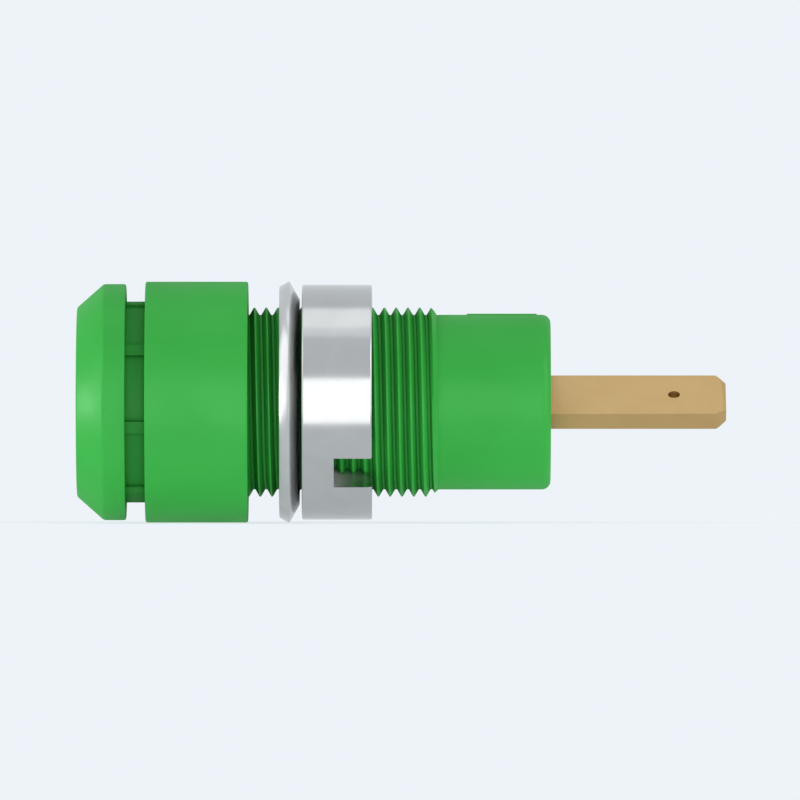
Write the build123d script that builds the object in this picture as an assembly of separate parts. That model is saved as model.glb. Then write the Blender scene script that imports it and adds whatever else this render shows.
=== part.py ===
from build123d import *

import os
from math import cos, radians, sin, tan

# Miniature safety socket for 2 mm plugs, fixed in a panel by its M8 x 0.5 ring nut.
# Millimetres, +Z up. The origin is on the axis, where the collar's rear face seats on the panel.
# The plug goes in from -X, and the flat tab leaves at +X.

# Moulding, outside
nose_diameter = 8.0
flange_diameter = 10.0
flange_thickness = 2.07
nose_bevel_length = 1.135
groove_diameter = 8.47
groove_width = 0.83
collar_diameter = 10.2
collar_length = 4.34
moulded_edge = 0.08
rear_barrel_end = 12.8
rear_barrel_rounding = 0.36

# Ribs across the groove
rib_count = 8
rib_width = 0.5
rib_height = 0.1
rib_edge = 0.03
first_rib_angle = 30.6

# Raised pad, left blank, on the far side of the rear barrel
pad_start = 9.25
pad_length = 2.98
pad_height = 0.06
pad_first_angle = 92.0
pad_sweep_angle = 70.0

# Threaded barrel, plain at the diameter of its fine thread's crests
thread_diameter = 8.0
thread_length = 7.75
thread_end_bevel = 0.3

# Recess for the plug's shroud, round the central post
recess_diameter = 5.4
recess_depth = 12.1
recess_mouth_bevel = 0.25
recess_draft = 0.05
recess_floor_bevel = 0.15
post_diameter = 3.7
post_setback = 0.8
post_tip_bevel = 0.2
post_lip_length = 1.2
pin_hole_diameter = 2.3
pin_hole_bevel = 0.3

# Contact: socket sleeve, barbed shank and flat tab
socket_bore_diameter = 2.0
socket_bore_depth = 12.0
socket_bore_bevel = 0.15
drill_point_angle = 59.0
sleeve_diameter = 2.8
sleeve_clearance = 0.02
sleeve_front_gap = 0.1
shank_start = 8.3
shank_diameter = 3.2
barb_diameter = 3.6
barb_clearance = 0.01
barb_length = 0.9
barb_count = 2
shank_head_length = 0.9
shank_edge = 0.1
tab_width = 2.8
tab_thickness = 0.8
tab_end = 20.23
tab_corner = 0.43
tab_face_bevel = 0.3
tab_face_bevel_depth = 0.12
tab_turn = 35.4
tab_hole_diameter = 0.5
tab_hole_setback = 2.2

# Dished washer, hollow side towards the collar
washer_overhang = 0.145
washer_thickness = 0.5
washer_bore_clearance = 0.1
washer_dish_angle = 29.5
washer_flat_width = 0.25
washer_standoff = 1.31

# Ring nut
nut_wall = 0.975
nut_length = 2.97
nut_edge = 0.08
nut_gap = 0.1
nut_thread_clearance = 0.08
nut_mouth_bevel = 0.17
slot_width = 1.5
slot_depth = 1.6
slot_count = 2
slot_angle = 37.6

# Places that follow from the sizes above
nose_radius = nose_diameter / 2
flange_radius = flange_diameter / 2
groove_radius = groove_diameter / 2
collar_radius = collar_diameter / 2
collar_front = -collar_length
flange_rear = collar_front - groove_width
nose_front = flange_rear - flange_thickness
thread_radius = thread_diameter / 2
rear_barrel_radius = thread_radius - thread_end_bevel
recess_radius = recess_diameter / 2
recess_floor = nose_front + recess_depth
post_radius = post_diameter / 2
post_tip = nose_front + post_setback
post_lip_end = post_tip + post_lip_length
pin_hole_radius = pin_hole_diameter / 2
sleeve_radius = sleeve_diameter / 2
sleeve_front = post_lip_end + sleeve_front_gap
socket_bore_radius = socket_bore_diameter / 2
shank_radius = shank_diameter / 2
barb_radius = barb_diameter / 2
nut_radius = thread_radius + nut_wall
nut_bore_radius = thread_radius + nut_thread_clearance
nut_mouth_radius = nut_bore_radius + nut_mouth_bevel
washer_rim_radius = nut_radius + washer_overhang
washer_bore_radius = thread_radius + washer_bore_clearance
washer_flat_radius = washer_bore_radius + washer_flat_width
washer_rim = washer_standoff + washer_thickness * cos(radians(washer_dish_angle))
washer_rear = washer_rim + (washer_rim_radius - washer_flat_radius) * tan(radians(washer_dish_angle))
nut_front = washer_rear + nut_gap
nut_rear = nut_front + nut_length
overrun = 0.5


def turned(outline, arc=360.0):
    """Turn an outline of (x, radius) points round the socket's axis; a third number bevels that corner."""
    with BuildPart() as piece:
        with BuildSketch(Plane.XY) as profile:
            with BuildLine():
                Polyline([(x, radius) for x, radius, *_ in outline], close=True)
            make_face()
            for x, radius, *bevel in outline:
                for size in bevel:
                    chamfer(profile.vertices().sort_by_distance((x, radius))[0], size)
        revolve(axis=Axis.X, revolution_arc=arc)
    return piece.part


def around(piece, angle):
    """Turn a piece about the axis, upwards from the side that faces -Y."""
    return piece.rotate(Axis.X, -angle)


def moulding_outside():
    """Bevelled flange, groove, collar, threaded barrel with its bevelled end, and rear barrel."""
    outline = [
        (nose_front, 0),
        (nose_front, nose_radius, moulded_edge),
        (nose_front + nose_bevel_length, flange_radius, moulded_edge),
        (flange_rear, flange_radius, moulded_edge),
        (flange_rear, groove_radius),
        (collar_front, groove_radius),
        (collar_front, collar_radius, moulded_edge),
        (0, collar_radius, moulded_edge),
        (0, thread_radius),
        (thread_length, thread_radius),
        (thread_length + thread_end_bevel, rear_barrel_radius),
        (rear_barrel_end, rear_barrel_radius),
        (rear_barrel_end, 0),
    ]
    outside = turned(outline)
    rear_rim = outside.edges().filter_by(GeomType.CIRCLE).sort_by(Axis.X)[-1]
    return fillet(rear_rim, rear_barrel_rounding)


def groove_ribs():
    """Short ribs that cross the groove from the flange to the collar."""
    length = groove_width + 2 * moulded_edge
    height = rib_height + overrun
    rib = Box(length, rib_width, height, align=(Align.CENTER, Align.CENTER, Align.MIN))
    rib = chamfer(rib.edges().filter_by(Axis.X).group_by(Axis.Z)[-1], rib_edge)
    middle = (flange_rear + collar_front) / 2
    rib = Pos(middle, 0, groove_radius - overrun) * rib
    towards_viewer = rib.rotate(Axis.X, 90)
    pitch_angle = 360 / rib_count
    return [around(towards_viewer, first_rib_angle - i * pitch_angle) for i in range(rib_count)]


def raised_pad():
    """Shallow pad that wraps part of the rear barrel."""
    top = rear_barrel_radius + pad_height
    base = rear_barrel_radius - moulded_edge
    pad_end = pad_start + pad_length
    outline = [(pad_start, base), (pad_start, top), (pad_end, top), (pad_end, base)]
    pad = turned(outline, pad_sweep_angle)
    towards_viewer = pad.rotate(Axis.X, 180)
    return around(towards_viewer, pad_first_angle + pad_sweep_angle)


def shroud_recess():
    """Space round the central post, with the pin's way through the post's lip."""
    mouth_radius = recess_radius + recess_mouth_bevel
    pin_hole_end = post_lip_end + sleeve_front_gap / 2
    outline = [
        (nose_front - overrun, 0),
        (nose_front - overrun, mouth_radius + overrun),
        (nose_front + recess_mouth_bevel, recess_radius),
        (recess_floor, recess_radius - recess_draft, recess_floor_bevel),
        (recess_floor, post_radius, recess_floor_bevel),
        (post_tip, post_radius - recess_draft, post_tip_bevel),
        (post_tip, pin_hole_radius + pin_hole_bevel),
        (post_tip + pin_hole_bevel, pin_hole_radius),
        (pin_hole_end, pin_hole_radius),
        (pin_hole_end, 0),
    ]
    return turned(outline)


def contact_seat():
    """Stepped bore that takes the contact from behind."""
    sleeve_seat = sleeve_radius + sleeve_clearance
    barb_seat = barb_radius + barb_clearance
    outline = [
        (post_lip_end, 0),
        (post_lip_end, sleeve_seat),
        (shank_start, sleeve_seat),
        (shank_start, barb_seat),
        (rear_barrel_end + overrun, barb_seat),
        (rear_barrel_end + overrun, 0),
    ]
    return turned(outline)


def insulating_body():
    """The one-piece moulding."""
    body = moulding_outside() + [*groove_ribs(), raised_pad()]
    return body - [shroud_recess(), contact_seat()]


def contact_core():
    """Turned sleeve and barbed shank, solid, before the socket is drilled."""
    barbs = []
    for i in range(barb_count):
        start = shank_start + barb_length * (i + 0.5)
        crest = start + barb_length / 2
        barbs += [(start, shank_radius), (crest, barb_radius), (crest + barb_clearance, shank_radius)]
    head_start = rear_barrel_end - shank_head_length
    outline = [
        (sleeve_front, 0),
        (sleeve_front, sleeve_radius),
        (shank_start, sleeve_radius),
        (shank_start, shank_radius),
        *barbs,
        (head_start, shank_radius),
        (head_start, barb_radius),
        (rear_barrel_end, barb_radius, shank_edge),
        (rear_barrel_end, 0),
    ]
    return turned(outline)


def socket_bore():
    """Drilled bore for the pin, with a bevelled mouth and the drill's point."""
    bore_end = sleeve_front + socket_bore_depth
    point = socket_bore_radius / tan(radians(drill_point_angle))
    outline = [
        (sleeve_front - overrun, 0),
        (sleeve_front - overrun, socket_bore_radius + socket_bore_bevel + overrun),
        (sleeve_front + socket_bore_bevel, socket_bore_radius),
        (bore_end, socket_bore_radius),
        (bore_end + point, 0),
    ]
    return turned(outline)


def flat_tab():
    """Flat tab with cut corners, bevelled tip and its small hole, lying level before it is turned."""
    start = rear_barrel_end - shank_head_length / 2
    length = tab_end - start
    tab = Box(length, tab_width, tab_thickness, align=(Align.MIN, Align.CENTER, Align.CENTER))
    corners = tab.edges().filter_by(Axis.Z).group_by(Axis.X)[-1]
    tab = chamfer(corners, tab_corner)
    tip_edges = tab.edges().filter_by(Axis.Y).group_by(Axis.X)[-1]
    tip_face = tab.faces().sort_by(Axis.X)[-1]
    tab = chamfer(tip_edges, tab_face_bevel_depth, tab_face_bevel, reference=tip_face)
    hole = Pos(length - tab_hole_setback, 0, 0) * Cylinder(tab_hole_diameter / 2, 2 * tab_thickness)
    return Pos(start, 0, 0) * (tab - hole)


def contact_socket():
    """The gold plated contact, turned and milled from one bar."""
    return contact_core() - socket_bore() + flat_tab().rotate(Axis.X, tab_turn)


def spring_washer():
    """Dished washer with a short flat ring round its bore."""
    slant = radians(washer_dish_angle)
    rim_inner = washer_rim_radius - washer_thickness * sin(slant)
    hollow = washer_standoff + (rim_inner - washer_bore_radius) * tan(slant)
    outline = [
        (washer_standoff, rim_inner),
        (washer_rim, washer_rim_radius),
        (washer_rear, washer_flat_radius),
        (washer_rear, washer_bore_radius),
        (hollow, washer_bore_radius),
    ]
    return turned(outline)


def ring_nut():
    """Ring nut with bevelled mouths and driver slots open to the rear, running on the thread's crests."""
    outline = [
        (nut_front, nut_mouth_radius),
        (nut_front, nut_radius, nut_edge),
        (nut_rear, nut_radius, nut_edge),
        (nut_rear, nut_mouth_radius),
        (nut_rear - nut_mouth_bevel, nut_bore_radius),
        (nut_front + nut_mouth_bevel, nut_bore_radius),
    ]
    ring = turned(outline)
    slot_reach = nut_radius + overrun
    slot = Box(slot_depth + overrun, slot_reach, slot_width, align=(Align.MIN, Align.MAX, Align.CENTER))
    slot = Pos(nut_rear - slot_depth, 0, 0) * slot
    return ring - [around(slot, i * 360 / slot_count - slot_angle) for i in range(slot_count)]


os.makedirs("parts", exist_ok=True)
for make in (insulating_body, contact_socket, spring_washer, ring_nut):
    export_step(make(), f"parts/{make.__name__}.step")
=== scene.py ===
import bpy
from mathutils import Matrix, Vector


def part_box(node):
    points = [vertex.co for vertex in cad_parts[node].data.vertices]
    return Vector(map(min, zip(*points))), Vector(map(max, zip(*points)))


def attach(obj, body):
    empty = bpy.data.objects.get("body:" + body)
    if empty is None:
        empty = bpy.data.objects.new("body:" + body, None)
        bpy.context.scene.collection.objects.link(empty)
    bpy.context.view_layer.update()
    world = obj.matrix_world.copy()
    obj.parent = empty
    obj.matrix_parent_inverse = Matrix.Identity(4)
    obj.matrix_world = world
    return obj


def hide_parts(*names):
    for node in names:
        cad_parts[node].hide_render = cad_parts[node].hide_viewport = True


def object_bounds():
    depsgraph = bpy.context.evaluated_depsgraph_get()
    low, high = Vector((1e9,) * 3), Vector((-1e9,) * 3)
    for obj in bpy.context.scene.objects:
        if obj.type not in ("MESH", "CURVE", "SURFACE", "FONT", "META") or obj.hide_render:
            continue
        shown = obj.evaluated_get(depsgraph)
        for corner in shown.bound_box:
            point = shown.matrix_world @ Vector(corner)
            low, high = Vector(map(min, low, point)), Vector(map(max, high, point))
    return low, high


bl_info = {
    "name": "Miniature Banana Socket",
    "version": (1, 0, 0),
    "blender": (4, 5, 0),
    "location": "3D View > Sidebar > Socket",
    "description": "Builds a panel socket for 2 mm plugs, with its dished washer and slotted ring nut",
    "category": "Add Mesh",
}

from math import atan2, ceil, cos, floor, hypot, pi, radians, sin

import bmesh
import bpy
from bpy.props import FloatProperty, FloatVectorProperty, IntProperty, PointerProperty
from mathutils import Matrix, Vector

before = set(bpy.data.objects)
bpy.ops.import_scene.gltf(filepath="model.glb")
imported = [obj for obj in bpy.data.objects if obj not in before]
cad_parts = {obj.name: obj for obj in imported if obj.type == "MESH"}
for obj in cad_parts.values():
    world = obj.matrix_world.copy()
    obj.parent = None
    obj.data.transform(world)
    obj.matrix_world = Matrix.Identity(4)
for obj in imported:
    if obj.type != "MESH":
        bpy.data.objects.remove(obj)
cad_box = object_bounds()

MM = 0.001
FULL_TURN = 2 * pi
QUARTER_TURN = radians(90)

# Vertices nearer than this are made one
MERGE_DISTANCE = 0.0005 * MM

# How far a vertex may lie from the place by which it is found
NEAR = 0.002 * MM

# Edges sharper than this stay crisp in the shading
SHARP_ANGLE = radians(32)

# Scale of a lathe's wide bands, as a share of its fine rings'
BAND_SCALE = 0.12

# Steps across a rounded edge
FINE_EDGE_STEPS = 2
EDGE_STEPS = 3
WIDE_EDGE_STEPS = 6

moulding_low, moulding_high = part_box("insulating_body")
contact_low, contact_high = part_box("contact_socket")
washer_low, washer_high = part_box("spring_washer")
nut_low, nut_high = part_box("ring_nut")


def length(name, description, millimetres):
    """A size property whose default is given in millimetres."""
    return place(name, description, millimetres * MM)


def place(name, description, metres):
    """A size property in metres, for what is read from the CAD frame."""
    return FloatProperty(name=name, description=description, default=metres, precision=5, unit="LENGTH")


def angle(name, description, degrees):
    """An angle property whose default is given in degrees."""
    return FloatProperty(name=name, description=description, default=radians(degrees), subtype="ANGLE")


def colour(name, description, linear):
    """A colour property, linear RGB."""
    return FloatVectorProperty(
        name=name, description=description, default=linear, size=3, min=0, max=1, subtype="COLOR"
    )


def factor(name, description, value):
    """A share from 0 to 1."""
    return FloatProperty(name=name, description=description, default=value, min=0, max=1, subtype="FACTOR")


def power(name, description, watts):
    """A lamp's power in watts."""
    return FloatProperty(name=name, description=description, default=watts, min=0, unit="POWER")


def steps_round(description, count):
    """How many steps a round shape has."""
    return IntProperty(name="Steps", description=description, default=count, min=24)


class ThreadSizes(bpy.types.PropertyGroup):
    """The fine right-hand thread that the barrel and the nut share"""

    pitch: length("Pitch", "Distance from one crest to the next", 0.5)
    crest_radius: length("Crest radius", "Radius of the barrel's thread crests", 4.0)
    depth: length("Depth", "Height of the thread, root to crest", 0.3067)
    crest_flat: length("Crest flat", "Width of the flat crest", 0.0625)
    root_flat: length("Root flat", "Width of the flat root", 0.0834)
    crest_place: length("Crest place", "Place of one crest on top of the barrel", 0.267)
    nut_gap: length("Gap to the nut", "How far the nut's thread stands off the barrel's", 0.07)
    steps: steps_round("Steps in one turn of the thread", 96)


class MouldingSizes(bpy.types.PropertyGroup):
    """The green insulating body"""

    nose_front: place("Nose front", "Front face", moulding_low.x)
    nose_radius: length("Nose radius", "Radius of the front face", 4.0)
    nose_bevel: length("Nose bevel", "Length of the flange's front bevel", 1.135)
    flange_radius: length("Flange radius", "Radius of the front flange", 5.0)
    groove_front: length("Groove front", "Rear face of the flange", -5.17)
    groove_rear: length("Groove rear", "Front face of the collar", -4.34)
    groove_radius: length("Groove radius", "Radius of the groove's floor", 4.235)
    collar_radius: length("Collar radius", "Radius of the collar", 5.1)
    collar_seat: length("Collar seat", "Radius of the flat ring that meets the thread", 4.3)
    edge: length("Edge", "Rounding of the moulded edges", 0.08)
    thread_end: length("Thread end", "Where the last crest begins to run out", 7.75)
    barrel_radius: length("Rear barrel radius", "Radius of the smooth rear barrel", 3.7)
    barrel_rounding: length("Rear rounding", "Rounding of the rear rim", 0.36)
    barrel_end: place("Rear end", "Rear face of the barrel", moulding_high.x)
    recess_radius: length("Recess radius", "Radius of the space for the plug's shroud", 2.7)
    recess_bevel: length("Recess bevel", "Bevel of the recess's mouth", 0.25)
    recess_floor: length("Recess floor", "Bottom of the recess", 4.86)
    recess_draft: length("Draft", "Taper of the recess and of the post over their length", 0.05)
    post_radius: length("Post radius", "Radius of the central post", 1.85)
    post_tip: length("Post tip", "Front of the central post", -6.44)
    post_bevel: length("Post bevel", "Bevel of the post's tip", 0.2)
    pin_hole_radius: length("Pin hole radius", "Radius of the pin's way into the post", 1.15)
    pin_hole_bevel: length("Pin hole bevel", "Bevel of the pin hole", 0.3)
    lip_rear: length("Lip rear", "Where the contact's own bore begins", -5.24)
    sleeve_seat: length("Sleeve seat", "Radius of the bore round the contact's sleeve", 1.42)
    shank_start: length("Shank start", "Where the bore widens for the contact's shank", 8.3)
    shank_seat: length("Shank seat", "Radius of the bore round the contact's barbs", 1.81)
    rim_gap: length("Rim gap", "Length of the small step where the thread has run out", 0.03)


class RibSizes(bpy.types.PropertyGroup):
    """Ribs across the groove and the raised pad on the rear barrel"""

    count: IntProperty(name="Count", description="Ribs round the groove", default=8, min=1)
    width: length("Width", "Width of a rib", 0.5)
    height: length("Height", "How far a rib stands off the groove's floor", 0.1)
    draft: angle("Draft", "Angle that each sloping side of a rib takes round the axis", 0.4)
    first: angle("First rib", "Place of the first rib, up from the viewer's side", 30.6)
    rib_steps: IntProperty(name="Rib steps", description="Steps across one rib", default=3, min=1)
    gap_steps: IntProperty(name="Gap steps", description="Steps between two ribs", default=12, min=1)
    pad_start: length("Pad start", "Front end of the pad", 9.25)
    pad_end: length("Pad end", "Rear end of the pad", 12.23)
    pad_height: length("Pad height", "How far the pad stands off the barrel", 0.05)
    pad_slope: length("Pad slope", "Width of the pad's sloping sides", 0.03)
    pad_first: angle("Pad first side", "Near side of the pad, up from the viewer's side", 92)
    pad_sweep: angle("Pad sweep", "How far the pad reaches round the barrel", 70)


class ContactSizes(bpy.types.PropertyGroup):
    """The turned contact and its flat tab"""

    sleeve_front: place("Sleeve front", "Front face of the sleeve", contact_low.x)
    sleeve_radius: length("Sleeve radius", "Outside radius of the sleeve", 1.4)
    bore_radius: length("Bore radius", "Radius of the pin's bore", 1.0)
    bore_bevel: length("Bore bevel", "Bevel of the bore's mouth", 0.15)
    bore_end: length("Bore end", "Full depth of the bore", 6.86)
    drill_point: length("Drill point", "Length of the bore's pointed bottom", 0.6)
    shank_start: length("Shank start", "Where the sleeve meets the shank", 8.3)
    shank_radius: length("Shank radius", "Radius of the shank", 1.6)
    barb_radius: length("Barb radius", "Radius of the barbs and of the head", 1.8)
    barb_length: length("Barb length", "Distance from barb to barb", 0.9)
    barb_back: length("Barb back", "Length of a barb's steep rear side", 0.01)
    head_start: length("Head start", "Front of the shank's head", 11.9)
    head_end: length("Head end", "Rear of the shank's head", 12.8)
    head_edge: length("Head edge", "Bevel of the head's rear edge", 0.1)
    tab_root: length("Tab root", "Where the tab starts inside the head", 12.35)
    tab_end: place("Tab end", "Tip of the tab", contact_high.x)
    tab_width: length("Tab width", "Width of the tab", 2.8)
    tab_thickness: length("Tab thickness", "Thickness of the tab", 0.8)
    tab_corner: length("Tab corner", "Size of the tip's cut corners", 0.43)
    tip_length: length("Tip length", "Length of the thinned tip", 0.3)
    tip_depth: length("Tip depth", "How much the tip thins on each face", 0.12)
    tab_turn: angle("Tab turn", "How far the tab is turned about the axis", 35.4)
    hole_place: length("Hole place", "Centre of the tab's hole", 18.03)
    hole_radius: length("Hole radius", "Radius of the tab's hole", 0.25)
    hole_steps: IntProperty(name="Hole steps", description="Steps round the tab's hole", default=32, min=8)
    tab_edge: length("Tab edge", "Rounding of the tab's long edges", 0.035)
    steps: steps_round("Steps round the turned part", 96)


class WasherSizes(bpy.types.PropertyGroup):
    """The dished washer, hollow side to the collar"""

    front: place("Front", "Front of the rim", washer_low.x)
    rear: place("Rear", "Rear flat round the bore", washer_high.x)
    rim_radius: place("Rim radius", "Outside radius", washer_high.z)
    rim_rear: length("Rim rear", "Rear of the rim", 1.745)
    hollow_radius: length("Hollow radius", "Radius of the rim's front edge", 4.874)
    flat_radius: length("Flat radius", "Outside radius of the rear flat", 4.35)
    bore_radius: length("Bore radius", "Radius of the washer's hole", 4.1)
    bore_front: length("Bore front", "Front of the hole's wall", 1.748)
    edge: length("Edge", "Rounding of the stamped edges", 0.04)
    steps: steps_round("Steps round the washer", 128)


class NutSizes(bpy.types.PropertyGroup):
    """The ring nut with two driver slots"""

    front: place("Front", "Face towards the washer", nut_low.x)
    rear: place("Rear", "Slotted face", nut_high.x)
    radius: place("Radius", "Outside radius", nut_high.z)
    mouth_radius: length("Mouth radius", "Radius of the thread's bevelled mouths", 4.25)
    mouth_depth: length("Mouth depth", "How deep each mouth's bevel goes", 0.17)
    edge: length("Edge", "Rounding of the turned edges", 0.08)
    slot_width: length("Slot width", "Width of the driver slots", 1.5)
    slot_depth: length("Slot depth", "Depth of the driver slots", 1.6)
    slot_angle: angle("Slot angle", "Place of the first slot, down from the viewer's side", 37.6)
    slot_edge: length("Slot edge", "Rounding of the milled edges", 0.05)
    steps: steps_round("Steps round the nut", 128)


class Finishes(bpy.types.PropertyGroup):
    """Colours and smoothness of the four materials, and the stage's colour"""

    green: colour("Green", "Moulded plastic", (0.034, 0.366, 0.050))
    green_deep: colour("Deep green", "Slightly darker flow marks in the plastic", (0.030, 0.342, 0.045))
    # Painted shade: a darker green that stands in for the shade deep in grooves and threads
    green_recess: colour("Painted recess shade", "Painted shade on the plastic deep in grooves and threads", (0.015, 0.185, 0.022))
    green_gloss: colour("Green gloss", "Tint of the plastic's highlights", (0.5, 1.0, 0.55))
    green_smooth: factor("Smooth plastic", "Roughness of clean plastic", 0.33)
    green_rough: factor("Rough plastic", "Roughness of smudged plastic", 0.41)
    green_sheen: factor("Plastic sheen", "Gloss level of the plastic seen face on; none edge on", 0.58)
    gold: colour("Gold", "Gold plate", (0.505, 0.335, 0.140))
    gold_pale: colour("Pale gold", "Rubbed gold plate", (0.52, 0.35, 0.152))
    gold_smooth: factor("Smooth gold", "Roughness of the gold plate's smoother patches", 0.34)
    gold_rough: factor("Rough gold", "Roughness of the gold plate's rougher patches", 0.42)
    nickel: colour("Nickel", "Bright nickel of the nut", (0.487, 0.487, 0.482))
    nickel_dull: colour("Dull nickel", "Slightly tarnished nickel", (0.460, 0.460, 0.453))
    nut_smooth: factor("Smooth nut", "Roughness of the nut's finest turning bands", 0.12)
    nut_rough: factor("Rough nut", "Roughness of the nut's coarsest turning bands", 0.2)
    washer: colour("Washer nickel", "Nickel of the washer", (0.58, 0.58, 0.575))
    washer_smooth: factor("Smooth washer", "Roughness of the washer's finest bands", 0.2)
    washer_rough: factor("Rough washer", "Roughness of the washer's coarsest bands", 0.3)
    recess_rough: factor("Rough recess", "Roughness deep in slots, grooves and threads", 0.9)
    stage: colour("Stage", "Floor and surroundings", (0.847, 0.896, 0.939))


class StageSizes(bpy.types.PropertyGroup):
    """Camera, lamps and floor"""

    camera_distance: length("Camera distance", "From the socket's axis to the camera", 753)
    camera_along: length("Camera place", "Camera's place along the axis", 6.43)
    camera_height: length("Camera height", "Camera's height over the axis", 0.09)
    lens: FloatProperty(name="Lens", description="Focal length", default=800, unit="CAMERA")
    floor_front: length("Floor in front", "From the socket's axis to the floor's front edge", 15)
    floor_reach: length("Floor reach", "How far the floor goes on at both ends of the socket", 29)
    floor_back: length("Floor behind", "From the socket's axis to the floor's back edge", 60)
    front_light: power("Front light", "Strip behind the camera", 1.2)
    left_light: power("Left light", "Soft box in front on the left", 2.8)
    right_light: power("Right light", "Soft box in front on the right", 4.0)
    nose_light: power("Nose light", "Small box at the nose's side", 5.0)
    top_light: power("Top light", "Soft box above", 0.62)
    strip_light: power("Strip light", "Narrower strip above", 0.42)
    surround: factor("Surround", "Brightness of the room round the socket", 0.47)
    floor_bounce: factor("Floor bounce", "How brightly the floor shines up at the socket", 0.5)
    floor_shade: factor("Floor shade", "Share of the floor's brightness that a shadow can take", 0.3)
    floor_glow: factor("Floor glow", "How brightly the floor itself shines, to match the room", 0.757)


GROUPS = {
    "socket_thread": ThreadSizes,
    "socket_moulding": MouldingSizes,
    "socket_ribs": RibSizes,
    "socket_contact": ContactSizes,
    "socket_washer": WasherSizes,
    "socket_nut": NutSizes,
    "socket_finishes": Finishes,
    "socket_stage": StageSizes,
}


def new_chain(bm, outline, turn=QUARTER_TURN, closed=False):
    """Vertices and edges through (x, radius) points, at that angle round the axis."""
    corners = [bm.verts.new((x, radius * cos(turn), radius * sin(turn))) for x, radius in outline]
    pairs = list(zip(corners, corners[1:]))
    if closed:
        pairs.append((corners[-1], corners[0]))
    return corners + [bm.edges.new(pair) for pair in pairs]


def spin_round(bm, chain, spans):
    """Spin a chain once round the axis, through spans of (angle, steps), and close it on itself."""
    for turn, steps in spans:
        chain = sweep(bm, chain, turn, steps)
    bmesh.ops.remove_doubles(bm, verts=bm.verts, dist=MERGE_DISTANCE)


def sweep(bm, chain, turn, steps, advance=0):
    """Turn a chain round the axis, moving on by the advance at each step; returns its last copy."""
    spun = bmesh.ops.spin(
        bm,
        geom=chain,
        cent=(0, 0, 0),
        axis=(1, 0, 0),
        dvec=(advance, 0, 0),
        angle=turn,
        steps=steps,
        use_merge=False,
    )
    return spun["geom_last"]


def radius_of(vertex):
    """Distance of a vertex from the axis."""
    return hypot(vertex.co.y, vertex.co.z)


def upward_angle(vertex):
    """Angle of a vertex round the axis, up from the viewer's side, from 0 to a full turn."""
    return atan2(vertex.co.z, -vertex.co.y) % FULL_TURN


def edges_round(bm, x, radius):
    """Edges of the ring at that place along the axis and that radius."""
    return [
        edge
        for edge in bm.edges
        if all(abs(v.co.x - x) < NEAR and abs(radius_of(v) - radius) < NEAR for v in edge.verts)
    ]


def soften(bm, edges, size, steps=EDGE_STEPS):
    """Round edges over."""
    bmesh.ops.bevel(
        bm,
        geom=edges,
        offset=size,
        offset_type="OFFSET",
        segments=steps,
        profile=0.5,
        affect="EDGES",
        clamp_overlap=True,
        material=-1,
    )


def cut_across(bm, x, **cleared):
    """Cut a shape across the axis at x; clear_inner or clear_outer drops the part before or after it."""
    whole = bm.verts[:] + bm.edges[:] + bm.faces[:]
    bmesh.ops.bisect_plane(
        bm, geom=whole, dist=MERGE_DISTANCE, plane_co=(x, 0, 0), plane_no=(1, 0, 0), **cleared
    )


def wind_thread(bm, thread, stand_off, start, end):
    """Wind one pitch of thread round the axis until it passes both ends, and cut it off there."""
    pitch = thread.pitch
    crest = thread.crest_radius + stand_off
    root = crest - thread.depth
    middle = (crest + root) / 2
    crest_half = thread.crest_flat / 2
    root_half = pitch / 2 - thread.root_flat / 2
    flank_half = (crest_half + root_half) / 2
    half_tooth = [(pitch / 2, root), (root_half, root), (flank_half, middle), (crest_half, crest)]
    first = thread.crest_place + pitch * floor((start - thread.crest_place) / pitch - 2)
    turns = ceil((end - first) / pitch) + 2
    tooth = [(first - x, radius) for x, radius in half_tooth]
    tooth += [(first + x, radius) for x, radius in reversed(half_tooth)]
    sweep(bm, new_chain(bm, tooth), FULL_TURN * turns, thread.steps * turns, pitch / thread.steps)
    bmesh.ops.remove_doubles(bm, verts=bm.verts, dist=MERGE_DISTANCE)
    cut_across(bm, start, clear_inner=True)
    cut_across(bm, end, clear_outer=True)


def turn_about_axis(bm, turn):
    """Turn a whole shape about the socket's axis."""
    bmesh.ops.rotate(bm, verts=bm.verts, cent=(0, 0, 0), matrix=Matrix.Rotation(turn, 3, "X"))


def join_rims(bm, start, end):
    """Bridge the two open rims that lie between two places along the axis."""
    rims = [
        edge
        for edge in bm.edges
        if edge.is_boundary and all(start - NEAR < v.co.x < end + NEAR for v in edge.verts)
    ]
    bmesh.ops.bridge_loops(bm, edges=rims)


def combined(bm, other, operation):
    """The first closed shape joined with the other, or cut by it."""
    objects = []
    for shape in (bm, other):
        mesh = bpy.data.meshes.new("shape")
        shape.to_mesh(mesh)
        shape.free()
        objects.append(bpy.data.objects.new("shape", mesh))
        bpy.context.scene.collection.objects.link(objects[-1])
    kept, used = objects
    boolean = kept.modifiers.new("boolean", "BOOLEAN")
    boolean.operation = operation
    boolean.solver = "EXACT"
    boolean.object = used
    whole = bpy.data.meshes.new_from_object(kept.evaluated_get(bpy.context.evaluated_depsgraph_get()))
    result = bmesh.new()
    result.from_mesh(whole)
    for shape in objects:
        mesh = shape.data
        bpy.data.objects.remove(shape)
        bpy.data.meshes.remove(mesh)
    bpy.data.meshes.remove(whole)
    return result


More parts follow.
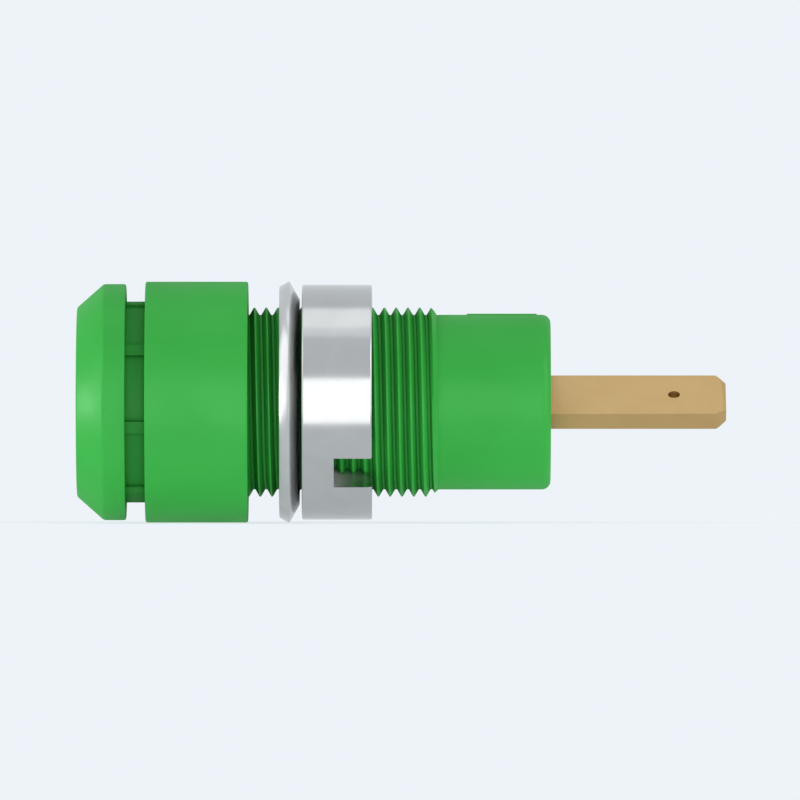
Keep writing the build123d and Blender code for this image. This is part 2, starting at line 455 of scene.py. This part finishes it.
def finish_piece(bm, name, node, body, material):
    """Make a closed bmesh the piece that stands for a CAD node."""
    bmesh.ops.remove_doubles(bm, verts=bm.verts, dist=MERGE_DISTANCE)
    bmesh.ops.recalc_face_normals(bm, faces=bm.faces)
    open_edges = [edge for edge in bm.edges if not edge.is_manifold]
    if open_edges:
        raise RuntimeError(f"{name} isn't closed at {len(open_edges)} edges")
    for face in bm.faces:
        face.smooth = True
    for edge in bm.edges:
        edge.smooth = edge.calc_face_angle() < SHARP_ANGLE
    mesh = bpy.data.meshes.new(name)
    bm.to_mesh(mesh)
    bm.free()
    mesh.materials.append(material)
    piece = bpy.data.objects.new(name, mesh)
    bpy.context.scene.collection.objects.link(piece)
    shading = piece.modifiers.new("even_shading", "WEIGHTED_NORMAL")
    shading.keep_sharp = True
    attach(piece, body)
    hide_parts(node)


def add_node(tree, kind, inputs=None, **settings):
    """Add a node, with its settings, and a value or a link for each named input."""
    node = tree.nodes.new(kind)
    for name, value in settings.items():
        setattr(node, name, value)
    fill(tree, node, inputs or {})
    return node


def fill(tree, node, inputs):
    """Give each named input of a node its value or its link."""
    for name, value in inputs.items():
        if isinstance(value, bpy.types.NodeSocket):
            tree.links.new(value, node.inputs[name])
        else:
            node.inputs[name].default_value = value


def new_group(name, inputs, outputs):
    """A shader node group of floats and a Position; returns its tree, its given values and its output."""
    tree = bpy.data.node_groups.new(name, "ShaderNodeTree")
    for label in inputs:
        kind = "NodeSocketVector" if label == "Position" else "NodeSocketFloat"
        tree.interface.new_socket(name=label, in_out="INPUT", socket_type=kind)
    for label in outputs:
        tree.interface.new_socket(name=label, in_out="OUTPUT", socket_type="NodeSocketFloat")
    return tree, tree.nodes.new("NodeGroupInput").outputs, tree.nodes.new("NodeGroupOutput")


def noise(tree, where, scale, **settings):
    """Smooth noise from 0 to 1."""
    inputs = {"Vector": where, "Scale": scale, **settings}
    return add_node(tree, "ShaderNodeTexNoise", inputs).outputs["Fac"]


def stretched(tree, value, low, high):
    """The part of a value from low to high, stretched to 0 to 1."""
    inputs = {"Value": value, "From Min": low, "From Max": high}
    return add_node(tree, "ShaderNodeMapRange", inputs).outputs["Result"]


def fine_grain_group():
    """Fine even grain, as a spark-eroded mould or a plating bath leaves it, and slow patches."""
    tree, given, result = new_group(
        "fine_grain", ["Position", "Grain Scale", "Patch Scale"], ["Grain", "Patches"]
    )
    patches = noise(tree, given["Position"], given["Patch Scale"], Detail=2.0)
    fill(
        tree,
        result,
        {
            "Grain": noise(tree, given["Position"], given["Grain Scale"], Detail=3.0),
            "Patches": stretched(tree, patches, low=0.35, high=0.65),
        },
    )
    return tree


def turning_marks_group():
    """Fine rings round the axis, as a lathe leaves them on a cylinder, a cone or a flat face."""
    tree, given, result = new_group("turning_marks", ["Position", "Scale"], ["Rings", "Bands"])
    split = add_node(tree, "ShaderNodeSeparateXYZ", {"Vector": given["Position"]}).outputs
    across = add_node(tree, "ShaderNodeCombineXYZ", {"Y": split["Y"], "Z": split["Z"]})
    radius = add_node(tree, "ShaderNodeVectorMath", {0: across.outputs["Vector"]}, operation="LENGTH")
    rings = add_node(tree, "ShaderNodeCombineXYZ", {"X": split["X"], "Y": radius.outputs["Value"]})
    wide = add_node(tree, "ShaderNodeMath", {0: given["Scale"], 1: BAND_SCALE}, operation="MULTIPLY")
    fill(
        tree,
        result,
        {
            "Rings": noise(tree, rings.outputs["Vector"], given["Scale"], Detail=2.0),
            "Bands": noise(tree, rings.outputs["Vector"], wide.outputs["Value"]),
        },
    )
    return tree


def handling_group():
    """Soft smudges, as handling leaves them."""
    tree, given, result = new_group("handling", ["Position", "Smudge Scale"], ["Smudges"])
    smudges = noise(tree, given["Position"], given["Smudge Scale"], Detail=4.0, Distortion=0.6)
    fill(tree, result, {"Smudges": stretched(tree, smudges, low=0.42, high=0.68)})
    return tree


def open_air_group():
    """How open a place is, from ambient occlusion: 1 on outer surfaces, 0 deep in grooves, slots and threads.
    It masks the plastic's painted shade and the roughness in recesses.
    """
    tree, given, result = new_group("open_air", ["Reach"], ["Openness"])
    around = add_node(
        tree, "ShaderNodeAmbientOcclusion", {"Distance": given["Reach"]}, samples=8, only_local=True
    )
    fill(tree, result, {"Openness": stretched(tree, around.outputs["AO"], low=0.35, high=0.85)})
    return tree


def shared_group(make):
    """A node group, made on first use."""
    name = make.__name__.removesuffix("_group")
    return bpy.data.node_groups.get(name) or make()


def filled_group(tree, make, inputs):
    """Outputs of a shared group in a material, with that material's own values."""
    return add_node(tree, "ShaderNodeGroup", inputs, node_tree=shared_group(make)).outputs


def two_tones(tree, mask, first, second):
    """Colour that goes from the first to the second with a mask; each is a colour or a link."""
    ends = [tone if isinstance(tone, bpy.types.NodeSocket) else (*tone, 1) for tone in (first, second)]
    inputs = {"Factor": mask, "A": ends[0], "B": ends[1]}
    return add_node(tree, "ShaderNodeMix", inputs, data_type="RGBA").outputs["Result"]


def between(tree, mask, low, high):
    """Value that goes from low to high with a mask."""
    inputs = {"Value": mask, "To Min": low, "To Max": high}
    return add_node(tree, "ShaderNodeMapRange", inputs).outputs["Result"]


def larger(tree, first, second):
    """The larger of two values."""
    return add_node(tree, "ShaderNodeMath", {0: first, 1: second}, operation="MAXIMUM").outputs["Value"]


def duller_deep_down(tree, roughness, open_air, deep, in_the_open):
    """A roughness that rises to the deep value in recesses; in the open the low value leaves it alone."""
    return larger(tree, roughness, between(tree, open_air, deep, in_the_open))


def new_material(name):
    """An empty material with a Principled shader; returns it, its tree, the shader and Object coordinates."""
    material = bpy.data.materials.new(name)
    material.use_nodes = True
    tree = material.node_tree
    tree.nodes.clear()
    shader = tree.nodes.new("ShaderNodeBsdfPrincipled")
    add_node(tree, "ShaderNodeOutputMaterial", {"Surface": shader.outputs["BSDF"]})
    where = tree.nodes.new("ShaderNodeTexCoord").outputs["Object"]
    return material, tree, shader, where


def surface(tree, shader, tone, roughness, relief, depth, metallic=1.0):
    """Give the shader its colour, its roughness and the fine relief of its surface."""
    bump = add_node(tree, "ShaderNodeBump", {"Height": relief, "Distance": depth, "Strength": 1.0})
    look = {"Base Color": tone, "Roughness": roughness, "Metallic": metallic}
    fill(tree, shader, {**look, "Normal": bump.outputs["Normal"]})


def green_plastic(finishes):
    """Satin moulded plastic with a fine mould grain and painted shade in its recesses; its gloss takes on the
    plastic's colour.
    """
    material, tree, shader, where = new_material("green_plastic")
    grain = filled_group(
        tree, fine_grain_group, {"Position": where, "Grain Scale": 9000.0, "Patch Scale": 260.0}
    )
    marks = filled_group(tree, handling_group, {"Position": where, "Smudge Scale": 420.0})
    open_air = filled_group(tree, open_air_group, {"Reach": 0.8 * MM})["Openness"]
    tone = two_tones(tree, grain["Patches"], finishes.green, finishes.green_deep)
    # Painted shade: where ambient occlusion finds a recess, the green goes towards the darker painted shade
    # colour
    painted_shade_tone = two_tones(tree, open_air, finishes.green_recess, tone)
    roughness = between(tree, marks["Smudges"], finishes.green_smooth, finishes.green_rough)
    roughness = duller_deep_down(tree, roughness, open_air, finishes.recess_rough, in_the_open=0.2)
    surface(tree, shader, painted_shade_tone, roughness, grain["Grain"], depth=0.003 * MM, metallic=0.0)
    turned_away = add_node(tree, "ShaderNodeLayerWeight", {"Blend": 0.75}).outputs["Facing"]
    fill(
        tree,
        shader,
        {
            "Specular IOR Level": between(tree, turned_away, finishes.green_sheen, 0.0),
            "Specular Tint": (*finishes.green_gloss, 1),
            "IOR": 1.45,
        },
    )
    return material


def gold_plate(finishes):
    """Matt gold plate over turned and milled brass."""
    material, tree, shader, where = new_material("gold_plate")
    grain = filled_group(
        tree, fine_grain_group, {"Position": where, "Grain Scale": 14000.0, "Patch Scale": 500.0}
    )
    marks = filled_group(tree, handling_group, {"Position": where, "Smudge Scale": 700.0})
    tone = two_tones(tree, marks["Smudges"], finishes.gold, finishes.gold_pale)
    roughness = between(tree, grain["Patches"], finishes.gold_smooth, finishes.gold_rough)
    surface(tree, shader, tone, roughness, grain["Grain"], depth=0.002 * MM)
    return material


def nut_nickel(finishes):
    """Bright nickel over fine turning marks."""
    material, tree, shader, where = new_material("nut_nickel")
    rings = filled_group(tree, turning_marks_group, {"Position": where, "Scale": 16000.0})
    marks = filled_group(tree, handling_group, {"Position": where, "Smudge Scale": 500.0})
    open_air = filled_group(tree, open_air_group, {"Reach": 3 * MM})["Openness"]
    tone = two_tones(tree, marks["Smudges"], finishes.nickel, finishes.nickel_dull)
    roughness = between(tree, rings["Bands"], finishes.nut_smooth, finishes.nut_rough)
    roughness = duller_deep_down(tree, roughness, open_air, finishes.recess_rough, in_the_open=0.1)
    surface(tree, shader, tone, roughness, rings["Rings"], depth=0.0004 * MM)
    return material


def washer_nickel(finishes):
    """Nickel plated spring steel, a little softer than the nut."""
    material, tree, shader, where = new_material("washer_nickel")
    rings = filled_group(tree, turning_marks_group, {"Position": where, "Scale": 9000.0})
    grain = filled_group(
        tree, fine_grain_group, {"Position": where, "Grain Scale": 12000.0, "Patch Scale": 400.0}
    )
    tone = two_tones(tree, grain["Patches"], finishes.washer, finishes.nickel_dull)
    roughness = between(tree, rings["Bands"], finishes.washer_smooth, finishes.washer_rough)
    surface(tree, shader, tone, roughness, grain["Grain"], depth=0.001 * MM)
    return material


class SOCKET_OT_moulding(bpy.types.Operator):
    """Build the green insulating body with its thread, ribs and raised pad"""

    bl_idname = "socket.moulding"
    bl_label = "Insulating Body"

    def execute(self, context):
        scene = context.scene
        size, thread, ribs = scene.socket_moulding, scene.socket_thread, scene.socket_ribs
        finishes = scene.socket_finishes
        run_out = thread.crest_radius - size.barrel_radius
        bm = bmesh.new()
        wind_thread(bm, thread, 0, 0, size.thread_end + run_out)
        for vertex in bm.verts:
            allowed = thread.crest_radius - max(0, vertex.co.x - size.thread_end)
            if radius_of(vertex) > allowed:
                vertex.co.yz *= allowed / radius_of(vertex)
        self.spin_body(bm, size, ribs, run_out)
        join_rims(bm, 0, 0)
        join_rims(bm, size.thread_end + run_out, size.thread_end + run_out + size.rim_gap)
        self.round_edges(bm, size)
        self.raise_ribs(bm, size, ribs)
        self.raise_pad(bm, size, ribs)
        finish_piece(bm, "moulding", "insulating_body", "socket", green_plastic(finishes))
        return {"FINISHED"}

    def spin_body(self, bm, size, ribs, run_out):
        """All but the thread: rear barrel, inside from the rear to the nose, flange, groove and collar."""
        hole_mouth = size.pin_hole_radius + size.pin_hole_bevel
        outline = [
            (size.thread_end + run_out + size.rim_gap, size.barrel_radius),
            (ribs.pad_start, size.barrel_radius),
            (ribs.pad_end, size.barrel_radius),
            (size.barrel_end, size.barrel_radius),
            (size.barrel_end, size.shank_seat),
            (size.shank_start, size.shank_seat),
            (size.shank_start, size.sleeve_seat),
            (size.lip_rear, size.sleeve_seat),
            (size.lip_rear, size.pin_hole_radius),
            (size.post_tip + size.pin_hole_bevel, size.pin_hole_radius),
            (size.post_tip, hole_mouth),
            (size.post_tip, size.post_radius - size.recess_draft),
            (size.recess_floor, size.post_radius),
            (size.recess_floor, size.recess_radius - size.recess_draft),
            (size.nose_front + size.recess_bevel, size.recess_radius),
            (size.nose_front, size.recess_radius + size.recess_bevel),
            (size.nose_front, size.nose_radius),
            (size.nose_front + size.nose_bevel, size.flange_radius),
            (size.groove_front, size.flange_radius),
            (size.groove_front, size.groove_radius),
            (size.groove_rear, size.groove_radius),
            (size.groove_rear, size.collar_radius),
            (0, size.collar_radius),
            (0, size.collar_seat),
        ]
        rib_angle = ribs.width / size.groove_radius
        gap_angle = FULL_TURN / ribs.count - rib_angle - 2 * ribs.draft
        sector = [(rib_angle, ribs.rib_steps), (ribs.draft, 1), (gap_angle, ribs.gap_steps), (ribs.draft, 1)]
        upper_side = ribs.first + rib_angle / 2
        spin_round(bm, new_chain(bm, outline, pi - upper_side), sector * ribs.count)

    def round_edges(self, bm, size):
        """Moulded roundings of the rear rim, the post's tip and the outer edges."""
        post_tip_radius = size.post_radius - size.recess_draft
        for x, radius, rounding, steps in (
            (size.barrel_end, size.barrel_radius, size.barrel_rounding, WIDE_EDGE_STEPS),
            (size.post_tip, post_tip_radius, size.post_bevel, EDGE_STEPS),
            (size.nose_front, size.nose_radius, size.edge, EDGE_STEPS),
            (size.nose_front + size.nose_bevel, size.flange_radius, size.edge, EDGE_STEPS),
            (size.groove_front, size.flange_radius, size.edge, EDGE_STEPS),
            (size.groove_rear, size.collar_radius, size.edge, EDGE_STEPS),
            (0, size.collar_radius, size.edge, EDGE_STEPS),
        ):
            soften(bm, edges_round(bm, x, radius), rounding, steps)

    def raise_ribs(self, bm, size, ribs):
        """Lift the groove's floor at each rib; the narrow steps beside it become its sides."""
        reach = (ribs.width / size.groove_radius) / 2 + ribs.draft / 2
        pitch = FULL_TURN / ribs.count
        for vertex in bm.verts:
            in_groove = size.groove_front - NEAR < vertex.co.x < size.groove_rear + NEAR
            if in_groove and abs(radius_of(vertex) - size.groove_radius) < NEAR:
                off_first = (upward_angle(vertex) - ribs.first + pitch / 2) % pitch - pitch / 2
                if abs(off_first) < reach:
                    vertex.co.yz *= (size.groove_radius + ribs.height) / size.groove_radius

    def raise_pad(self, bm, size, ribs):
        """Lift the pad's faces off the rear barrel, with sloping sides."""
        bmesh.ops.recalc_face_normals(bm, faces=bm.faces)
        slack = radians(1)
        start = ribs.pad_first - slack
        end = ribs.pad_first + ribs.pad_sweep + slack
        pad = [
            face
            for face in bm.faces
            if all(
                ribs.pad_start - NEAR < v.co.x < ribs.pad_end + NEAR
                and abs(radius_of(v) - size.barrel_radius) < NEAR
                and start < upward_angle(v) < end
                for v in face.verts
            )
        ]
        bmesh.ops.inset_region(
            bm, faces=pad, thickness=ribs.pad_slope, depth=ribs.pad_height, use_even_offset=True
        )


class SOCKET_OT_contact(bpy.types.Operator):
    """Build the gold plated contact with its sleeve, barbs and flat tab"""

    bl_idname = "socket.contact"
    bl_label = "Contact"

    def execute(self, context):
        size, finishes = context.scene.socket_contact, context.scene.socket_finishes
        whole = combined(self.turned_part(size), self.flat_tab(size), "UNION")
        finish_piece(whole, "contact", "contact_socket", "socket", gold_plate(finishes))
        return {"FINISHED"}

    def turned_part(self, size):
        """Sleeve with its drilled bore, barbed shank and head."""
        outline = [
            (size.bore_end + size.drill_point, 0),
            (size.bore_end, size.bore_radius),
            (size.sleeve_front + size.bore_bevel, size.bore_radius),
            (size.sleeve_front, size.bore_radius + size.bore_bevel),
            (size.sleeve_front, size.sleeve_radius),
            (size.shank_start, size.sleeve_radius),
            (size.shank_start, size.shank_radius),
        ]
        for start in (size.shank_start + size.barb_length / 2, size.shank_start + size.barb_length * 3 / 2):
            crest = start + size.barb_length / 2
            outline += [
                (start, size.shank_radius),
                (crest, size.barb_radius),
                (crest + size.barb_back, size.shank_radius),
            ]
        outline += [
            (size.head_start, size.shank_radius),
            (size.head_start, size.barb_radius),
            (size.head_end - size.head_edge, size.barb_radius),
            (size.head_end, size.barb_radius - size.head_edge),
            (size.head_end, 0),
        ]
        bm = bmesh.new()
        spin_round(bm, new_chain(bm, outline), [(FULL_TURN, size.steps)])
        bmesh.ops.recalc_face_normals(bm, faces=bm.faces)
        return bm

    def flat_tab(self, size):
        """Tab with cut corners, thinned tip and its hole, turned to its angle."""
        half_width, half_thickness = size.tab_width / 2, size.tab_thickness / 2
        corner_start, corner_width = size.tab_end - size.tab_corner, half_width - size.tab_corner
        side = [(size.tab_root, half_width), (corner_start, half_width), (size.tab_end, corner_width)]
        around = side + [(x, -y) for x, y in reversed(side)]
        bm = bmesh.new()
        corners = [bm.verts.new((x, y, -half_thickness)) for x, y in around]
        for pair in zip(corners, corners[1:] + corners[:1]):
            bm.edges.new(pair)
        centre = Matrix.Translation((size.hole_place, 0, -half_thickness))
        bmesh.ops.create_circle(
            bm, cap_ends=False, segments=size.hole_steps, radius=size.hole_radius, matrix=centre
        )
        bmesh.ops.triangle_fill(bm, use_beauty=True, edges=bm.edges[:])
        grown = bmesh.ops.extrude_face_region(bm, geom=bm.faces[:])
        top = [item for item in grown["geom"] if isinstance(item, bmesh.types.BMVert)]
        bmesh.ops.translate(bm, verts=top, vec=(0, 0, size.tab_thickness))
        bmesh.ops.recalc_face_normals(bm, faces=bm.faces)
        bmesh.ops.dissolve_limit(bm, angle_limit=radians(1), verts=bm.verts, edges=bm.edges)
        cut_across(bm, size.tab_end - size.tip_length)
        for vertex in bm.verts:
            if vertex.co.x > size.tab_end - NEAR:
                vertex.co.z *= 1 - size.tip_depth / half_thickness
        visible = [
            edge
            for edge in bm.edges
            if edge.calc_face_angle() > SHARP_ANGLE
            and not all(v.co.x < size.tab_root + NEAR for v in edge.verts)
        ]
        soften(bm, visible, size.tab_edge, FINE_EDGE_STEPS)
        turn_about_axis(bm, size.tab_turn)
        return bm


class SOCKET_OT_washer(bpy.types.Operator):
    """Build the dished washer"""

    bl_idname = "socket.washer"
    bl_label = "Dished Washer"

    def execute(self, context):
        size, finishes = context.scene.socket_washer, context.scene.socket_finishes
        outline = [
            (size.front, size.hollow_radius),
            (size.rim_rear, size.rim_radius),
            (size.rear, size.flat_radius),
            (size.rear, size.bore_radius),
            (size.bore_front, size.bore_radius),
        ]
        bm = bmesh.new()
        spin_round(bm, new_chain(bm, outline, closed=True), [(FULL_TURN, size.steps)])
        for x, radius in outline:
            soften(bm, edges_round(bm, x, radius), size.edge, FINE_EDGE_STEPS)
        finish_piece(bm, "dished_washer", "spring_washer", "washer", washer_nickel(finishes))
        return {"FINISHED"}


class SOCKET_OT_nut(bpy.types.Operator):
    """Build the ring nut with its thread and driver slots"""

    bl_idname = "socket.nut"
    bl_label = "Ring Nut"

    def execute(self, context):
        scene = context.scene
        size, thread, finishes = scene.socket_nut, scene.socket_thread, scene.socket_finishes
        bm = bmesh.new()
        front_mouth, rear_mouth = size.front + size.mouth_depth, size.rear - size.mouth_depth
        wind_thread(bm, thread, thread.nut_gap, front_mouth, rear_mouth)
        outline = [
            (size.front, size.mouth_radius),
            (size.front, size.radius),
            (size.rear, size.radius),
            (size.rear, size.mouth_radius),
        ]
        spin_round(bm, new_chain(bm, outline), [(FULL_TURN, size.steps)])
        join_rims(bm, size.front, front_mouth)
        join_rims(bm, rear_mouth, size.rear)
        soften(bm, edges_round(bm, size.front, size.radius), size.edge)
        soften(bm, edges_round(bm, size.rear, size.radius), size.edge)
        bmesh.ops.recalc_face_normals(bm, faces=bm.faces)
        slotted = combined(bm, self.slot_block(size), "DIFFERENCE")
        bmesh.ops.remove_doubles(slotted, verts=slotted.verts, dist=MERGE_DISTANCE)
        soften(slotted, self.slot_rims(slotted, size), size.slot_edge, FINE_EDGE_STEPS)
        finish_piece(slotted, "slotted_nut", "ring_nut", "nut", nut_nickel(finishes))
        return {"FINISHED"}

    def slot_rims(self, bm, size):
        """Edges of the slots' walls and floors on the nut's outside."""
        slot_floor = size.rear - size.slot_depth
        outermost = size.radius - size.edge - NEAR

        def on_wall(vertex):
            off_middle = vertex.co.z * cos(size.slot_angle) - vertex.co.y * sin(size.slot_angle)
            return abs(abs(off_middle) - size.slot_width / 2) < NEAR

        def on_floor(vertex):
            return abs(vertex.co.x - slot_floor) < NEAR

        return [
            edge
            for edge in bm.edges
            if edge.is_convex
            and edge.calc_face_angle() > SHARP_ANGLE
            and all(radius_of(v) > outermost for v in edge.verts)
            and (all(on_wall(v) for v in edge.verts) or all(on_floor(v) for v in edge.verts))
        ]

    def slot_block(self, size):
        """Bar right across the nut that takes out both slots."""
        spare = size.slot_width
        bar = Matrix.Diagonal((size.slot_depth + spare, 2 * size.radius + spare, size.slot_width, 1))
        middle = size.rear + (spare - size.slot_depth) / 2
        bm = bmesh.new()
        bmesh.ops.create_cube(bm, size=1, matrix=Matrix.Translation((middle, 0, 0)) @ bar)
        turn_about_axis(bm, size.slot_angle)
        return bm


class SOCKET_OT_stage(bpy.types.Operator):
    """Build the floor, the surroundings, the lamps and the camera"""

    bl_idname = "socket.stage"
    bl_label = "Stage"

    # Each lamp's name, its power's property, its place from the socket's middle, and its sides in metres
    lamps = (
        ("front_softbox", "front_light", (0, -0.9, 0.018), (0.38, 0.73)),
        ("left_softbox", "left_light", (-0.762, -0.339, 0.337), (0.8, 1.1)),
        ("right_softbox", "right_light", (0.683, -0.479, 0.337), (0.6, 1.1)),
        ("nose_softbox", "nose_light", (-0.895, -0.06, -0.08), (0.34, 0.42)),
        ("top_softbox", "top_light", (0, -0.048, 0.9), (1.0, 0.63)),
        ("top_strip", "strip_light", (0, 0.017, 0.9), (1.0, 0.415)),
    )

    def execute(self, context):
        scene = context.scene
        size, finishes = scene.socket_stage, scene.socket_finishes
        self.floor(size, finishes)
        self.surroundings(scene, size, finishes)
        middle = Vector((size.camera_along, 0, 0))
        for name, light, offset, sides in self.lamps:
            self.soft_box(name, middle, Vector(offset), sides, getattr(size, light))
        self.camera(scene, size)
        scene.view_settings.view_transform = "Standard"
        return {"FINISHED"}

    def floor(self, size, finishes):
        """Pale floor under the socket that keeps its shadow."""
        low, high = cad_box
        along, across = high.x - low.x + 2 * size.floor_reach, size.floor_back + size.floor_front
        middle = Matrix.Translation(((low.x + high.x) / 2, (size.floor_back - size.floor_front) / 2, low.z))
        sides = Matrix.Diagonal((along, across, 1, 1))
        bm = bmesh.new()
        bmesh.ops.create_grid(bm, x_segments=1, y_segments=1, size=0.5, matrix=middle @ sides)
        mesh = bpy.data.meshes.new("floor")
        bm.to_mesh(mesh)
        bm.free()
        mesh.materials.append(self.floor_paint(size, finishes))
        floor = bpy.data.objects.new("floor", mesh)
        bpy.context.scene.collection.objects.link(floor)

    def floor_paint(self, size, finishes):
        """Pale paint that the camera and gloss see partly glowing, so that its shadow stays faint."""
        material = bpy.data.materials.new("floor_paint")
        material.use_nodes = True
        tree = material.node_tree
        tree.nodes.clear()
        seen = seen_directly(tree)
        shaded = [size.floor_shade * channel for channel in finishes.stage]
        tone = two_tones(tree, seen, finishes.stage, shaded)
        strength = between(tree, seen, size.floor_bounce, size.floor_glow)
        paint = add_node(tree, "ShaderNodeBsdfDiffuse", {"Color": tone})
        glow = add_node(tree, "ShaderNodeEmission", {"Color": (*finishes.stage, 1), "Strength": strength})
        both = tree.nodes.new("ShaderNodeAddShader")
        tree.links.new(paint.outputs["BSDF"], both.inputs[0])
        tree.links.new(glow.outputs["Emission"], both.inputs[1])
        add_node(tree, "ShaderNodeOutputMaterial", {"Surface": both.outputs["Shader"]})
        return material

    def surroundings(self, scene, size, finishes):
        """Pale room for the camera and in gloss, and otherwise plain light from all sides."""
        world = bpy.data.worlds.new("surroundings")
        world.use_nodes = True
        tree = world.node_tree
        tree.nodes.clear()
        tone = two_tones(tree, seen_directly(tree), [size.surround] * 3, finishes.stage)
        backdrop = add_node(tree, "ShaderNodeBackground", {"Color": tone})
        add_node(tree, "ShaderNodeOutputWorld", {"Surface": backdrop.outputs["Background"]})
        scene.world = world

    def soft_box(self, name, target, offset, sides, watts):
        """Rectangular lamp that faces the target."""
        lamp = bpy.data.lights.new(name, "AREA")
        lamp.shape = "RECTANGLE"
        lamp.size, lamp.size_y = sides
        lamp.energy = watts
        holder = bpy.data.objects.new(name, lamp)
        bpy.context.scene.collection.objects.link(holder)
        holder.location = target + offset
        holder.rotation_euler = offset.to_track_quat("Z", "Y").to_euler()

    def camera(self, scene, size):
        """Long lens, level with the socket's axis, looking at its side."""
        lens = bpy.data.cameras.new("camera")
        lens.lens = size.lens
        holder = bpy.data.objects.new("camera", lens)
        scene.collection.objects.link(holder)
        holder.location = (size.camera_along, -size.camera_distance, size.camera_height)
        holder.rotation_euler = (QUARTER_TURN, 0, 0)
        scene.camera = holder


def seen_directly(tree):
    """1 for what the camera, a reflection or glass shows, and 0 for the light that falls on things."""
    path = tree.nodes.new("ShaderNodeLightPath")
    shown = path.outputs["Is Camera Ray"]
    for ray in ("Is Glossy Ray", "Is Transmission Ray"):
        shown = larger(tree, shown, path.outputs[ray])
    return shown


OPERATORS = (SOCKET_OT_moulding, SOCKET_OT_contact, SOCKET_OT_washer, SOCKET_OT_nut, SOCKET_OT_stage)


class SOCKET_PT_panel(bpy.types.Panel):
    """Buttons and sizes of the banana socket"""

    bl_idname = "SOCKET_PT_panel"
    bl_label = "Miniature Banana Socket"
    bl_space_type = "VIEW_3D"
    bl_region_type = "UI"
    bl_category = "Socket"

    def draw(self, context):
        for operator in OPERATORS:
            self.layout.operator(operator.bl_idname)
        for name, group in GROUPS.items():
            box = self.layout.box()
            box.label(text=group.__doc__)
            for prop in group.__annotations__:
                box.prop(getattr(context.scene, name), prop)


def register():
    """Register the classes and hang the property groups on the scene."""
    for made in (*GROUPS.values(), *OPERATORS, SOCKET_PT_panel):
        bpy.utils.register_class(made)
    for name, group in GROUPS.items():
        setattr(bpy.types.Scene, name, PointerProperty(type=group))


def unregister():
    """Undo register."""
    for name in GROUPS:
        delattr(bpy.types.Scene, name)
    for made in reversed((*GROUPS.values(), *OPERATORS, SOCKET_PT_panel)):
        bpy.utils.unregister_class(made)


def main():
    """Build every piece and the stage."""
    register()
    bpy.ops.socket.moulding()
    bpy.ops.socket.contact()
    bpy.ops.socket.washer()
    bpy.ops.socket.nut()
    bpy.ops.socket.stage()


if __name__ == "__main__":
    main()
